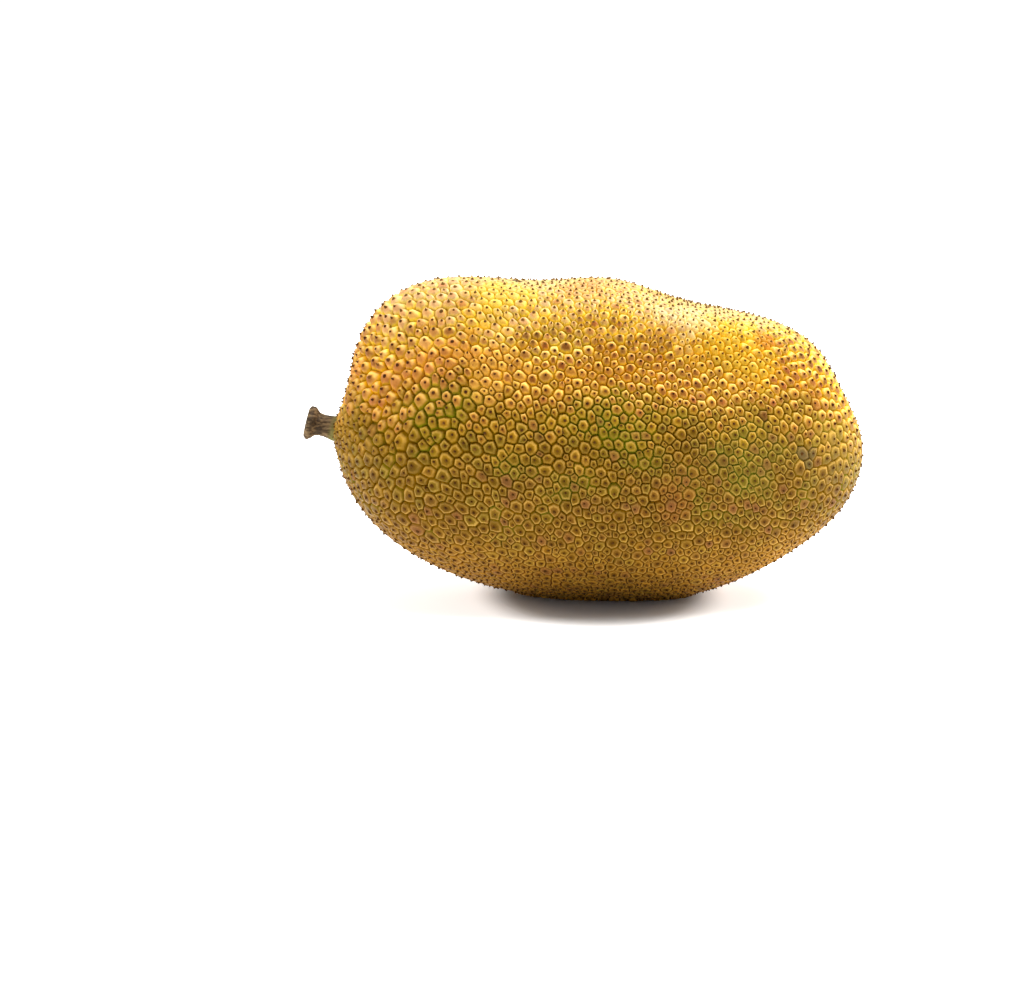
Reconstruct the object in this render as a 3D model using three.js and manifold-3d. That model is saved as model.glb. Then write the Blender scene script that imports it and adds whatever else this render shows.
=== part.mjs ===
// A whole ripe jackfruit, picked with a stub of its stalk and lying on its side.
//
// Millimetres, +Z up. The fruit's length runs along X, with the stalk at -X and the blossom end
// at +X, and -Y is its front. The origin is on the small flat that it rests on, under the middle
// of its length.
//
// The fruit is one grown solid. Its skin is covered by blunt tubercles that meet in narrow
// grooves: each is a low pyramid whose tip lies on the fruit's outline, and whose corners lie in
// the grooves below it. They are about half as wide again as on a living fruit, so that fewer
// still cover all of it. The stalk is a separate piece that stands in a plain socket.

import * as THREE from "three";
import { ConvexHull } from "three/addons/math/ConvexHull.js";
import { mergeVertices } from "three/addons/utils/BufferGeometryUtils.js";
import Module from "manifold-3d";

// The body's outline over its tubercles.
const HALF_LENGTH = 174.5;
const HALF_WIDTH = 105;
const HALF_HEIGHT = 106;
const STALK_SQUARENESS = 2.3; // 2 is a plain ellipsoid, and more is a blunter end
const BLOSSOM_SQUARENESS = 2.15;
const DROOP = 0.045; // how far the body leans down towards its blossom end, per mm of length
const PRESSED = 5; // how much of the underside its weight has pressed flat

// Broad swellings and hollows. Angles are in degrees: along is from the stalk end (0) to the
// blossom end (180), and around is 0 at the front, 90 on top, 180 at the back and -90 underneath.
const LUMPS = [
  { along: 54, around: 90, rise: 17.5, spread: 23 }, // the high shoulder above the stalk end
  { along: 15, around: 90, rise: -5.5, spread: 13 }, // the steep face under that shoulder
  { along: 4, around: 0, rise: 3, spread: 9 }, // the collar that the stalk grows out of
  { along: 74, around: 90, rise: -8.5, spread: 16 }, // the dip in the middle of the top
  { along: 92, around: 90, rise: 7, spread: 14 },
  { along: 111.5, around: 90, rise: -9.5, spread: 21 }, // the slope down to the blossom end
  { along: 134.5, around: 90, rise: 5.5, spread: 19 },
  { along: 157.5, around: 90, rise: -5.5, spread: 14 },
  { along: 69, around: -90, rise: 1.5, spread: 21.5 }, // the full underside
  { along: 139, around: -90, rise: -18, spread: 19 }, // the rising underside of the blossom end
  { along: 165, around: -60, rise: -1.5, spread: 12 },
  { along: 60, around: -20, rise: 4, spread: 24 }, // the full front below the shoulder
  { along: 112, around: 35, rise: -4, spread: 15 }, // the saddle running down the front
  { along: 55, around: 165, rise: 5, spread: 26 }, // the back
  { along: 100, around: 200, rise: -4, spread: 18 },
  { along: 135, around: 150, rise: 4, spread: 20 },
];

// The tubercles.
const TUBERCLES = 1940;
const GROOVE_DEPTH = 5.5;
const DEPTH_VARIATION = 0.18; // as a share of the depth
const SCATTER = 0.9; // how far a tubercle strays from an even spiral, in pitches
const SETTLING_ROUNDS = 5;
const STALK_END_CROWDING = 0.3; // tubercles shrink by this share round the stalk
const BLOSSOM_END_CROWDING = 0.15;
const CROWDING_ANGLE = 20;
const SEED = 41;

// The stalk, along its own axis from the skin.
const STALK_TILT = 14; // degrees above level
const STALK_RADIUS = 7.6;
const STALK_REACH = 18.5; // from the skin to the cut face
const KNOB_RADIUS = 11.2; // the swollen joint where it was cut
const SOCKET_DEPTH = 13;
const SOCKET_CLEARANCE = 0.4;
const STALK_SIDES = 28;
const BARK_RIDGES = 5;
const BARK_RELIEF = 0.05; // as a share of the radius

const RIND_COLOUR = 0xb48a35;
const BARK_COLOUR = 0x6b5744;

const GOLDEN_ANGLE = Math.PI * (3 - Math.sqrt(5));
const radians = THREE.MathUtils.degToRad;

THREE.MathUtils.seededRandom(SEED);
const spread = () => 2 * THREE.MathUtils.seededRandom() - 1;

// The unit direction at an angle from the stalk end and an angle round the length, in radians.
function direction(along, around) {
  return new THREE.Vector3(
    -Math.cos(along),
    -Math.sin(along) * Math.cos(around),
    Math.sin(along) * Math.sin(around),
  );
}

for (const lump of LUMPS) {
  lump.toward = direction(radians(lump.along), radians(lump.around));
  lump.width = radians(lump.spread);
}

// The point of the smooth, convex form in a direction: a squared-off ellipsoid with no lumps.
function form(toward) {
  const across = Math.hypot(toward.y, toward.z);
  const squareness = THREE.MathUtils.lerp(
    STALK_SQUARENESS,
    BLOSSOM_SQUARENESS,
    (toward.x + 1) / 2,
  );
  const reach =
    (Math.abs(toward.x) ** squareness + across ** squareness) ** (-1 / squareness);
  return new THREE.Vector3(HALF_LENGTH, HALF_WIDTH, HALF_HEIGHT)
    .multiply(toward)
    .multiplyScalar(reach);
}

// The direction in which the form holds a point, which undoes form().
function towardForm(point) {
  return new THREE.Vector3(
    point.x / HALF_LENGTH,
    point.y / HALF_WIDTH,
    point.z / HALF_HEIGHT,
  ).normalize();
}

// The point of the real outline, with its lumps and its droop.
function outline(toward) {
  const point = form(toward);
  const rise = LUMPS.reduce(
    (sum, lump) =>
      sum + lump.rise * Math.exp(-((toward.angleTo(lump.toward) / lump.width) ** 2)),
    0,
  );
  point.setLength(point.length() + rise);
  point.z -= DROOP * point.x;
  return point;
}

// The outline's outward normal, from two short steps along it.
function outwardNormal(toward) {
  const step = 0.01;
  const sideways = new THREE.Vector3(0, 0, 1);
  if (Math.abs(toward.z) > 0.9) sideways.set(0, 1, 0);
  const first = new THREE.Vector3().crossVectors(sideways, toward).setLength(step);
  const second = new THREE.Vector3().crossVectors(toward, first).setLength(step);
  const middle = outline(toward);
  const alongFirst = outline(first.add(toward).normalize()).sub(middle);
  const alongSecond = outline(second.add(toward).normalize()).sub(middle);
  return alongFirst.cross(alongSecond).normalize();
}

// How wide a tubercle is at an angle from the stalk end, as a share of the widest.
function relativePitch(along) {
  const width = radians(CROWDING_ANGLE);
  const nearStalk = Math.exp(-((along / width) ** 2));
  const nearBlossom = Math.exp(-(((Math.PI - along) / width) ** 2));
  return 1 - STALK_END_CROWDING * nearStalk - BLOSSOM_END_CROWDING * nearBlossom;
}

// The form's profile from the stalk end to the blossom end, in even steps of the angle along it.
// Up to each step it sums the room for tubercles, and the height on a map that keeps shapes true.
const PROFILE_STEPS = 1500;
const profile = { room: [0], height: [0] };
for (let step = 1; step <= PROFILE_STEPS; step++) {
  const from = form(direction((Math.PI * (step - 1)) / PROFILE_STEPS, 0));
  const to = form(direction((Math.PI * step) / PROFILE_STEPS, 0));
  const slant = from.distanceTo(to);
  const radius = Math.abs(from.y + to.y) / 2;
  const pitch = relativePitch((Math.PI * (step - 0.5)) / PROFILE_STEPS);
  profile.room.push(profile.room[step - 1] + (2 * Math.PI * radius * slant) / pitch ** 2);
  profile.height.push(profile.height[step - 1] + slant / radius);
}

// Directions spread over the form in a scattered spiral, so that each has the same room.
function scatteredDirections(count) {
  const wholeRoom = profile.room[PROFILE_STEPS];
  const stray = (SCATTER * Math.sqrt(wholeRoom / count)) / 2;
  const toward = [];
  for (let index = 0, step = 0; index < count; index++) {
    const wanted = ((index + 0.5) / count) * wholeRoom;
    while (profile.room[step + 1] < wanted) step++;
    const past = (wanted - profile.room[step]) / (profile.room[step + 1] - profile.room[step]);
    const along = (Math.PI * (step + past)) / PROFILE_STEPS;
    const strayed = form(direction(along, index * GOLDEN_ANGLE)).add(
      new THREE.Vector3(spread(), spread(), spread()).multiplyScalar(stray),
    );
    toward.push(towardForm(strayed));
  }
  return toward;
}

// Where a direction goes when the form is turned into a ball without distorting small shapes.
function onBall(toward) {
  const step = (Math.acos(-toward.x) / Math.PI) * PROFILE_STEPS;
  const below = Math.min(Math.floor(step), PROFILE_STEPS - 1);
  const { height } = profile;
  const above = THREE.MathUtils.lerp(height[below], height[below + 1], step - below);
  const along = 2 * Math.atan(Math.exp(above - height[PROFILE_STEPS / 2]));
  return direction(along, Math.atan2(toward.z, -toward.y));
}

// The triangles that join neighbouring directions: the faces of the hull round that ball.
function neighbourTriangles(toward) {
  const points = toward.map(onBall);
  const indexOf = new Map(points.map((point, index) => [point, index]));
  return new ConvexHull().setFromPoints(points).faces.map((face) => {
    const corners = [face.edge.prev, face.edge, face.edge.next];
    return corners.map((edge) => indexOf.get(edge.head().point));
  });
}

// Moves each direction half way to the middle of its neighbours, as crowded tubercles settle.
function settle(toward) {
  const sums = toward.map(() => new THREE.Vector3());
  for (const triangle of neighbourTriangles(toward)) {
    for (const corner of triangle) {
      for (const other of triangle) sums[corner].add(toward[other]);
      sums[corner].sub(toward[corner]);
    }
  }
  return toward.map((old, index) => sums[index].normalize().add(old).normalize());
}

// Stands a point on the floor, given the skin over it. Where the skin would reach below the
// floor, the fruit's weight has pressed it flat and its grooves shut.
function standOnFloor(point, skin, lift) {
  return point.setZ(skin.z + lift < 0 ? 0 : Math.max(point.z + lift, 0));
}

// The body: each tubercle's tip, joined to the groove corners round it. Lift is how far the
// outline was raised to stand on the floor.
function fruitBody() {
  let toward = scatteredDirections(TUBERCLES);
  for (let round = 0; round < SETTLING_ROUNDS; round++) toward = settle(toward);
  const triangles = neighbourTriangles(toward);

  const tips = toward.map(outline);
  const lift = -Math.min(...tips.map((tip) => tip.z)) - PRESSED;
  const corners = triangles.map((triangle) => {
    const middle = new THREE.Vector3();
    for (const corner of triangle) middle.add(form(toward[corner]));
    const along = towardForm(middle);
    const skin = outline(along);
    const depth = GROOVE_DEPTH * (1 + DEPTH_VARIATION * spread());
    const groove = outwardNormal(along).multiplyScalar(-depth).add(skin);
    return standOnFloor(groove, skin, lift);
  });
  for (const tip of tips) standOnFloor(tip, tip.clone(), lift);

  // Each side of a triangle parts two tubercles, and gives each of them one facet.
  const cornerPast = new Map();
  triangles.forEach(([a, b, c], corner) => {
    cornerPast.set(`${a} ${b}`, corner);
    cornerPast.set(`${b} ${c}`, corner);
    cornerPast.set(`${c} ${a}`, corner);
  });
  const index = [];
  for (const [side, corner] of cornerPast) {
    const [from, to] = side.split(" ");
    const across = cornerPast.get(`${to} ${from}`);
    index.push(Number(from), tips.length + across, tips.length + corner);
  }
  const geometry = new THREE.BufferGeometry().setFromPoints([...tips, ...corners]);
  return { geometry: geometry.setIndex(index), lift };
}

// The stalk along +Y from the skin at 0: a round root for the socket, then a ridged stem that
// swells to the joint where it was cut.
function stalkGeometry() {
  const joint = STALK_REACH - 5;
  const profile = [
    [0, -SOCKET_DEPTH + SOCKET_CLEARANCE],
    [STALK_RADIUS * 0.94, -SOCKET_DEPTH + SOCKET_CLEARANCE],
    [STALK_RADIUS, -SOCKET_DEPTH + 2],
    [STALK_RADIUS, 0],
    [STALK_RADIUS * 0.97, joint * 0.35],
    [STALK_RADIUS * 0.95, joint * 0.6],
    [STALK_RADIUS * 1.04, joint * 0.85],
    [KNOB_RADIUS * 0.92, joint],
    [KNOB_RADIUS, joint + 1.6],
    [KNOB_RADIUS * 0.98, joint + 3.4],
    [KNOB_RADIUS * 0.88, STALK_REACH - 0.4],
    [KNOB_RADIUS * 0.6, STALK_REACH],
    [0, STALK_REACH - 0.5],
  ].map(([radius, height]) => new THREE.Vector2(radius, height));
  const geometry = new THREE.LatheGeometry(profile, STALK_SIDES);

  const position = geometry.getAttribute("position");
  const point = new THREE.Vector3();
  for (let i = 0; i < position.count; i++) {
    point.fromBufferAttribute(position, i);
    const out = THREE.MathUtils.smoothstep(point.y, 0, joint);
    const turn = Math.atan2(point.z, point.x);
    const ridge = Math.cos(BARK_RIDGES * turn + point.y / 6) + 0.6 * Math.cos(2 * turn + 1);
    const swell = 1 + BARK_RELIEF * out * ridge;
    position.setXYZ(i, point.x * swell, point.y, point.z * swell);
  }
  return geometry;
}

// The stalk's place: its point on the skin, and the turn that takes +Y to the way it grows.
function stalkPlace(lift) {
  const tilt = radians(STALK_TILT);
  const grows = new THREE.Vector3(-Math.cos(tilt), 0, Math.sin(tilt));
  const turn = new THREE.Quaternion().setFromUnitVectors(new THREE.Vector3(0, 1, 0), grows);
  const skin = outline(direction(0, 0));
  skin.z += lift;
  return { skin, turn };
}

const wasm = await Module();
wasm.setup();

function toSolid(geometry) {
  const bare = geometry.clone();
  bare.deleteAttribute("normal");
  bare.deleteAttribute("uv");
  const merged = mergeVertices(bare);
  return new wasm.Manifold(
    new wasm.Mesh({
      numProp: 3,
      vertProperties: merged.getAttribute("position").array,
      triVerts: new Uint32Array(merged.getIndex().array),
    }),
  );
}

function toGeometry(solid) {
  const mesh = solid.getMesh();
  return new THREE.BufferGeometry()
    .setAttribute("position", new THREE.BufferAttribute(mesh.vertProperties, 3))
    .setIndex(new THREE.BufferAttribute(mesh.triVerts, 1));
}

function namedMesh(name, geometry, material) {
  const mesh = new THREE.Mesh(geometry, material);
  mesh.name = name;
  return mesh;
}

const body = fruitBody();
const place = stalkPlace(body.lift);

// The socket's tool runs from the socket's floor to well outside the skin.
const SOCKET_TOOL_LENGTH = 60;
const socket = new THREE.CylinderGeometry(
  STALK_RADIUS + SOCKET_CLEARANCE,
  STALK_RADIUS + SOCKET_CLEARANCE,
  SOCKET_TOOL_LENGTH,
  STALK_SIDES,
)
  .translate(0, SOCKET_TOOL_LENGTH / 2 - SOCKET_DEPTH, 0)
  .applyQuaternion(place.turn)
  .translate(...place.skin);

const rind = new THREE.MeshStandardMaterial({
  color: RIND_COLOUR,
  roughness: 0.6,
  metalness: 0,
  flatShading: true,
});
const bark = new THREE.MeshStandardMaterial({ color: BARK_COLOUR, roughness: 0.85, metalness: 0 });

const fruit = namedMesh("fruit", toGeometry(toSolid(body.geometry).subtract(toSolid(socket))), rind);
const stalk = namedMesh("stalk", stalkGeometry(), bark);
stalk.quaternion.copy(place.turn);
stalk.position.copy(place.skin);

const jackfruit = new THREE.Group();
jackfruit.name = "jackfruit";
jackfruit.add(fruit, stalk);

export default jackfruit;
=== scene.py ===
# %% [markdown]
# # A whole ripe jackfruit
#
# A jackfruit is one grown body. Its rind is a close-set field of tubercles: blunt pads, five or
# six sided where they crowd each other, each with the dried tip of a flower's style at its
# crown. This lesson grows that field over an uneven egg of a body, adds the dried tips and a
# stub of stalk, and finishes each of them with node materials.
#
# The solid model comes first, as a fixed frame: its sizes and its resting place are given, and
# the pieces below are fitted to it.

# %% The frame
import math

import bpy
import numpy as np
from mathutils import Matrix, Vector
from mathutils.geometry import delaunay_2d_cdt


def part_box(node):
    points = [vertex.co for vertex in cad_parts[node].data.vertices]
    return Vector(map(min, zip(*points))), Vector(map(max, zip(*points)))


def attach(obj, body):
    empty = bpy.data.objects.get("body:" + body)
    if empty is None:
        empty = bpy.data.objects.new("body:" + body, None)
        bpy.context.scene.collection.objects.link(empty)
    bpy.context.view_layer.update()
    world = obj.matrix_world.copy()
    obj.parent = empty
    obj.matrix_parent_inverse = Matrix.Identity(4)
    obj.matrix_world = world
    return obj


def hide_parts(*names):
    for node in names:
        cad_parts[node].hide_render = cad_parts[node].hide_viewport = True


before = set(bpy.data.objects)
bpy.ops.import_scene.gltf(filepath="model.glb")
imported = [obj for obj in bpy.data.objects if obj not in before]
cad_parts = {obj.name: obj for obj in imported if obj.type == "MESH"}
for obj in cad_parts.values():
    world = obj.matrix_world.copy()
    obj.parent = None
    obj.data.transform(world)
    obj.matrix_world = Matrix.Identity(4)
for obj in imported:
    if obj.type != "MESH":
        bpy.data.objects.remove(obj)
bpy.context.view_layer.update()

fruit_low, fruit_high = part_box("fruit")
stalk_low, stalk_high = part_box("stalk")
MM = 0.001  # the frame is in metres, and the fruit is easier to think of in millimetres
print("solid fruit, mm:", [round(side / MM, 1) for side in fruit_high - fruit_low])
print("solid stalk, mm:", [round(side / MM, 1) for side in stalk_high - stalk_low])

# %% [markdown]
# ## The camera
#
# A long lens keeps the fruit's proportions true. The camera stands in front of the fruit and a
# little above it. It could be framed with a lens shift, but a shift bends perspective in other
# views, so the camera simply aims at a point beside the fruit, which puts the fruit right of
# the middle and a little high.

# %% Camera
IMAGE_SIZE = Vector((1032, 989))
FRUIT_PIXEL = Vector((600, 435))  # where the fruit's middle falls in the image
MM_PER_PIXEL = 0.66
LENS = 85
SENSOR = 36
CAMERA_RISE = math.radians(9)

fruit_middle = Vector((0, 0, fruit_high.z / 2))
camera_back = Vector((0, -math.cos(CAMERA_RISE), math.sin(CAMERA_RISE)))
camera_up = Vector((0, math.sin(CAMERA_RISE), math.cos(CAMERA_RISE)))
camera_distance = IMAGE_SIZE.x * MM_PER_PIXEL * MM * LENS / SENSOR
aside = (FRUIT_PIXEL - IMAGE_SIZE / 2) * MM_PER_PIXEL * MM
camera_aim = fruit_middle - Vector((1, 0, 0)) * aside.x + camera_up * aside.y

camera = bpy.data.objects.new("camera", bpy.data.cameras.new("camera"))
camera.data.lens = LENS
camera.data.sensor_width = SENSOR
camera.location = camera_aim + camera_back * camera_distance
camera.rotation_euler = (-camera_back).to_track_quat("-Z", "Y").to_euler()
bpy.context.collection.objects.link(camera)
bpy.context.scene.camera = camera
print("camera stands", round(camera_distance, 2), "m away")

# %% [markdown]
# ## The body's outline
#
# The body could be sculpted, or pulled from a subdivided cube. A formula suits it better,
# because the tubercles need a surface that can be asked for a point in any direction. It is the
# solid's own formula: an egg between an ellipsoid and a box, called the form, with broad
# swellings and hollows laid over it as soft bumps and a lean towards the blossom end.
#
# Every function takes a whole array of unit directions at once. "along" is the angle from the
# stalk end and "around" is the angle round the length, from the front and upwards.

# %% The egg
HALF_SIZE = np.array([174.5, 105, 106])
STALK_SQUARENESS = 2.3  # 2 is a plain ellipsoid
BLOSSOM_SQUARENESS = 2.15


def direction(along, around):
    return np.stack(
        [-np.cos(along), -np.sin(along) * np.cos(around), np.sin(along) * np.sin(around)], -1
    )


def unit(vectors):
    return vectors / np.linalg.norm(vectors, axis=-1, keepdims=True)


def form(toward):
    across = np.hypot(toward[:, 1], toward[:, 2])
    blossom = (toward[:, 0] + 1) / 2
    squareness = STALK_SQUARENESS + (BLOSSOM_SQUARENESS - STALK_SQUARENESS) * blossom
    reach = (np.abs(toward[:, 0]) ** squareness + across**squareness) ** (-1 / squareness)
    return HALF_SIZE * toward * reach[:, None]


def toward_form(points):
    return unit(points / HALF_SIZE)


print("the plain egg, mm:", (2 * HALF_SIZE).tolist())

# %% Outline
DROOP = 0.045  # how far the blossom end leans down, for each millimetre along
PRESSED = 5  # how much of the underside the fruit's weight has pressed flat
NORMAL_STEP = 0.01  # how far apart the outline is felt for its slope

# along, around, rise and spread, in degrees and millimetres
LUMPS = {
    "shoulder": (54, 90, 17.5, 23),
    "face under the shoulder": (15, 90, -5.5, 13),
    "collar of the stalk": (4, 0, 3, 9),
    "dip in the top": (74, 90, -8.5, 16),
    "top": (92, 90, 7, 14),
    "slope of the top": (111.5, 90, -9.5, 21),
    "blossom end's crown": (134.5, 90, 5.5, 19),
    "blossom end's brow": (157.5, 90, -5.5, 14),
    "underside": (69, -90, 1.5, 21.5),
    "rising underside": (139, -90, -18, 19),
    "blossom end's chin": (165, -60, -1.5, 12),
    "full front": (60, -20, 4, 24),
    "saddle down the front": (112, 35, -4, 15),
    "full back": (55, 165, 5, 26),
    "hollow back": (100, 200, -4, 18),
    "back of the blossom end": (135, 150, 4, 20),
}


def outline(toward):
    points = form(toward)
    rise = np.zeros(len(toward))
    for along, around, height, spread in LUMPS.values():
        middle = direction(math.radians(along), math.radians(around))
        angle = np.arccos(np.clip(toward @ middle, -1, 1))
        rise += height * np.exp(-((angle / math.radians(spread)) ** 2))
    points = points + unit(points) * rise[:, None]
    points[:, 2] -= DROOP * points[:, 0]
    return points


def outward(toward):
    """The outline's normals, from two short steps along it."""
    sideways = np.where(np.abs(toward[:, 2:]) > 0.9, [[0, 1, 0]], [[0, 0, 1]])
    first = unit(np.cross(sideways, toward)) * NORMAL_STEP
    second = unit(np.cross(toward, first)) * NORMAL_STEP
    middle = outline(toward)
    along_first = outline(unit(toward + first)) - middle
    along_second = outline(unit(toward + second)) - middle
    return unit(np.cross(along_first, along_second))


stalk_foot, blossom_tip = outline(np.array([[-1.0, 0, 0], [1.0, 0, 0]]))
print("outline from", stalk_foot.round(1), "to", blossom_tip.round(1))

# %% [markdown]
# ## Where the tubercles grow
#
# Sunflower seeds and jackfruit flowers both follow a spiral that turns by the golden angle. One
# point after another along it, each given its own room, covers any round body. The room differs:
# pads are largest on the shoulder and at the blossom end, and small in the middle and round the
# stalk. Real tubercles are less even, so each point strays at random, and then a few rounds of
# settling move it part of the way to the middle of its neighbours, as crowded things do.
#
# Neighbours could be found by distance, but what is wanted is the net of triangles that joins
# them. Blender has one for flat points, a Delaunay net, so the body is first mapped flat, with
# the stalk end in the middle and the blossom end infinitely far out. A polar sea chart keeps
# every small shape true in this way. This map is such a chart, drawn out a little from its
# middle, so that what looks even on it is a little longer round the fruit than along it. The one
# tubercle at the blossom end's very tip can't be on the map: it joins the net's outer edge.

# %% Spiral
TUBERCLES = 4740
SCATTER = 0.5  # in shares of the space between tubercles
# Degrees from the stalk, and how far apart the tubercles are there in millimetres
SPACING = {0: 6.2, 20: 8.3, 42: 9.4, 70: 7.1, 90: 6.6, 110: 6.5, 130: 7.0, 150: 8.7, 180: 9.0}
GOLDEN_ANGLE = math.pi * (3 - math.sqrt(5))
PROFILE_STEPS = 3000
HEXAGON_SHARE = math.sqrt(0.75)  # a tubercle's six-sided room, as a share of its square one
rng = np.random.default_rng(41)

steps = np.linspace(0, math.pi, PROFILE_STEPS + 1)
profile = form(direction(steps, np.zeros_like(steps)))
slant = np.linalg.norm(np.diff(profile, axis=0), axis=1)
radius = np.abs(profile[1:, 1] + profile[:-1, 1]) / 2
spacing_there = np.interp(np.degrees(steps[1:]), list(SPACING), list(SPACING.values()))
room = np.append(0, np.cumsum(math.tau * radius * slant / spacing_there**2))

spiral_room = (np.arange(TUBERCLES) + 0.5) / TUBERCLES * room[-1]
spiral = direction(np.interp(spiral_room, room, steps), np.arange(TUBERCLES) * GOLDEN_ANGLE)
spacing_on_spiral = np.interp(spiral_room, room[1:], spacing_there)
stray = rng.uniform(-0.5, 0.5, (TUBERCLES, 3)) * SCATTER * spacing_on_spiral[:, None]
toward = toward_form(form(spiral) + stray)
toward[-1] = [1, 0, 0]
print("room for", round(room[-1] / HEXAGON_SHARE), "tubercles, and", TUBERCLES, "placed")

# %% Net of neighbours
STRETCH = 1.13  # how much longer tubercles are round the fruit than along it

map_height = np.append(0, np.cumsum(slant / radius))
map_height -= map_height[PROFILE_STEPS // 2]


def flat_map(toward):
    along = np.arccos(np.clip(-toward[:, 0], -1, 1))
    around = np.arctan2(toward[:, 2], -toward[:, 1])
    far = np.exp(np.interp(along, steps, map_height) * STRETCH)
    return np.stack([far * np.cos(around), far * np.sin(around)], -1)


def net_of(toward):
    """The triangles that join neighbours, with their corners anticlockwise from outside."""
    tip = len(toward) - 1
    flat = [Vector(point) for point in flat_map(toward[:tip])]
    _, _, net, sources, *_ = delaunay_2d_cdt(flat, [], [], 0, 0)
    triangles = np.array([[sources[corner][0] for corner in face] for face in net])
    sides = {(t[i - 1], t[i]) for t in triangles.tolist() for i in range(3)}
    rim = [(end, start, tip) for start, end in sides if (end, start) not in sides]
    triangles = np.concatenate([triangles, sorted(rim)])
    a, b, c = (form(toward)[triangles[:, corner]] for corner in range(3))
    inward = np.einsum("ij,ij->i", np.cross(b - a, c - a), a + b + c) < 0
    triangles[inward] = triangles[inward][:, ::-1]
    return triangles


print("the map reaches from e to the", map_height[0].round(1), "to e to the", map_height[-1].round(1))

# %% Settling
SETTLING_ROUNDS = 4


def settled(toward):
    triangles = net_of(toward)
    total = np.zeros_like(toward)
    for corner in range(3):
        others = toward[triangles[:, corner - 1]] + toward[triangles[:, corner - 2]]
        np.add.at(total, triangles[:, corner], others)
    total[-1] = toward[-1]  # the blossom end's tip stays
    return unit(unit(total) + toward)


for _ in range(SETTLING_ROUNDS):
    toward = settled(toward)
triangles = net_of(toward)
print(len(triangles), "groove corners; a closed net has", 2 * TUBERCLES - 4)

# %% [markdown]
# ## One wedge for each side of a tubercle
#
# Every side of every triangle leads from one tubercle to a neighbour. It stands for one wedge
# of the first tubercle's pad: from the crown out to the stretch of groove that parts the two.
# Three lookups tie the wedges together: the same side seen from the neighbour (its twin), the
# wedge before it round the same pad, and the groove corner where it ends.

# %% Wedges
start = triangles.ravel()
end = np.roll(triangles, -1, axis=1).ravel()
wedges = len(start)
wedge_corner = np.repeat(np.arange(len(triangles)), 3)
key = start * TUBERCLES + end
order = np.argsort(key)
twin = order[np.searchsorted(key[order], end * TUBERCLES + start)]
before = 3 * (twin // 3) + (twin + 1) % 3
assert (start[before] == start).all() and (twin[twin] == np.arange(wedges)).all()
print(wedges, "wedges,", round(wedges / TUBERCLES, 2), "to a tubercle")

# %% [markdown]
# ## How crowns and groove corners stray
#
# A net as even as this would look machined. On the fruit a crown is seldom in the middle of its
# pad, and the grooves meet a little off the middle of the three pads that they part. So both
# stray at random, by a share of the space between tubercles. They stray on the plain form, which
# is easier to work on than the outline with its swellings.

# %% Crowns and corners
CROWN_STRAY = 0.1  # of the space between tubercles
CORNER_STRAY = 0.13

draws = rng.random((TUBERCLES, 3))  # every tubercle's own chance numbers, for shape and colour
centre_form = form(toward)
wedge_length = np.linalg.norm(centre_form[end] - centre_form[start], axis=1)
spacing = np.bincount(start, wedge_length) / np.bincount(start)
relative_size = spacing / spacing.mean()
crown_stray = rng.normal(0, CROWN_STRAY / math.sqrt(2), (TUBERCLES, 3)) * spacing[:, None]
crown_form = centre_form + crown_stray
crown_form[-1] = centre_form[-1]
corner_stray = rng.uniform(-1, 1, (len(triangles), 3)) * CORNER_STRAY
corner_form = centre_form[triangles].mean(axis=1) + corner_stray * spacing[triangles].mean(1)[:, None]
side_form = (corner_form[wedge_corner] + corner_form[wedge_corner[twin]]) / 2
print("tubercles are", np.percentile(spacing, [2, 50, 98]).round(1), "mm apart")

# %% [markdown]
# ## Domed pads and dished pads
#
# On the shoulder of the fruit the pads are domed like knuckles. Down the flanks and on the very
# top they are flat, and dished like small craters: the rim stands highest and the crown lies a
# little lower, round the foot of the dried tip. One number for each tubercle, from 0 for dished
# to 1 for domed, leads every depth below from the one kind to the other. It could be painted by
# hand, but a rule with height, length, slow waves and chance in it wanders as the fruit does.
#
# The grooves are deepest between domed pads, and shallower again at the blossom end.

# %% Domed or dished
DOMED_AT_MIDDLE = 0.3
DOMED_UP = 110  # millimetres upwards that turn a dished pad into a domed one
DOMED_TO_STALK = 450  # and millimetres towards the stalk
DOMED_BY_WAVES = 0.25
DOMED_BY_CHANCE = 0.4
WAVE = [0.031, 0.017, 0.023]  # in radians a millimetre
CROSSING_WAVE = [-0.013, 0.027, 0.019]
FLATTER_ON_TOP = 0.7
TOP_FROM, TOP_BAND = 0.75, 0.2  # in shares of facing straight up

broad_noise = np.sin(crown_form @ WAVE) * np.cos(crown_form @ CROSSING_WAVE)
domed = DOMED_AT_MIDDLE + crown_form[:, 2] / DOMED_UP - crown_form[:, 0] / DOMED_TO_STALK
domed = domed + DOMED_BY_WAVES * broad_noise + DOMED_BY_CHANCE * (draws[:, 0] - 0.5)
domed = np.clip(domed, 0, 1)
crown_up = outward(toward_form(crown_form))[:, 2]
domed *= 1 - FLATTER_ON_TOP * np.clip((crown_up - TOP_FROM) / TOP_BAND, 0, 1)
print("domed pads:", (domed > 0.5).sum(), "of", TUBERCLES)

# %% Groove depth
GROOVE_DEPTH = (2.0, 3.8)  # for a dished pad and for a domed one, as in every pair below
DEPTH_BY_SIZE = 0.6  # a power: larger pads part at deeper grooves
PAD_VARIATION = 0.15
BLOSSOM_SHALLOWER = 0.3
BLOSSOM_FROM, BLOSSOM_LENGTH = 90, 60  # millimetres past the fruit's middle


def between(low, high, share):
    return low + (high - low) * share


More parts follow.
